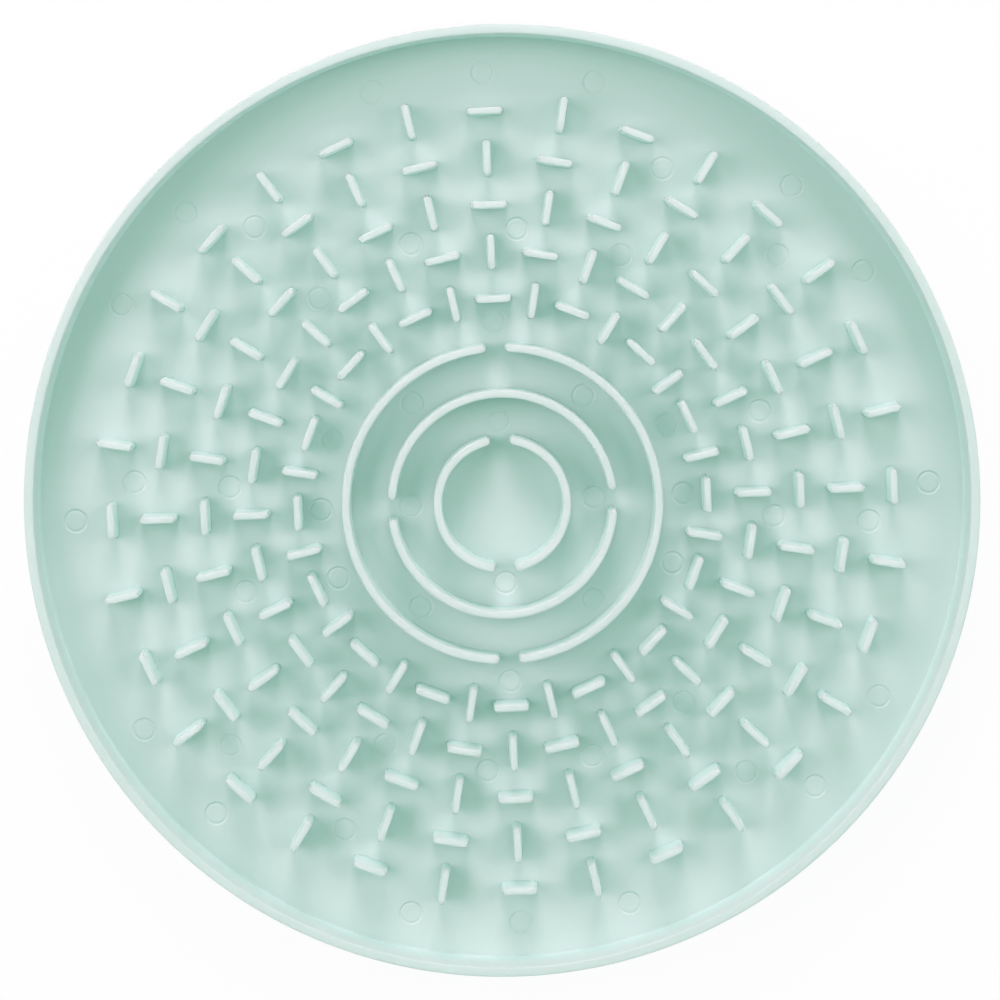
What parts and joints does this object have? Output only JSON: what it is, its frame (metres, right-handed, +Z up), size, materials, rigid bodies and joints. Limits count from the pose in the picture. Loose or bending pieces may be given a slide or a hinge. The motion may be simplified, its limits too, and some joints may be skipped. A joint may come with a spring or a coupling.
{
  "type": "lick mat",
  "caption": "Round lick mat: a shallow rimmed dish with rings of short upright fins and curved walls on its floor, standing on non-slip pads.",
  "frame": {"origin": "centre of the plane that the six pads stand on", "axes": "+Z up through the centre of the plate, +Y towards the top of the plate as it is seen, +X to its right"},
  "size_m": [0.2, 0.2, 0.014],
  "materials": {
    "mint_plastic": "satin",
    "pad_rubber": "matte"
  },
  "bodies": {
    "root": {"base_plate": "mint_plastic", "rim_wall": "mint_plastic", "inner_arc_left": "mint_plastic", "inner_arc_right": "mint_plastic", "middle_arc_upper": "mint_plastic", "middle_arc_lower": "mint_plastic", "outer_arc_left": "mint_plastic", "outer_arc_right": "mint_plastic", "ring_1_radial_fins": "mint_plastic", "ring_2_radial_fins": "mint_plastic", "ring_3_radial_fins": "mint_plastic", "ring_4_radial_fins": "mint_plastic", "ring_5_radial_fins": "mint_plastic", "ring_1_cross_fins": "mint_plastic", "ring_2_cross_fins": "mint_plastic", "ring_3_cross_fins": "mint_plastic", "ring_4_cross_fins": "mint_plastic", "ring_5_cross_fins": "mint_plastic", "foot_pad_1": "pad_rubber", "foot_pad_2": "pad_rubber", "foot_pad_3": "pad_rubber", "foot_pad_4": "pad_rubber", "foot_pad_5": "pad_rubber", "foot_pad_6": "pad_rubber"}
  },
  "joints": []
}
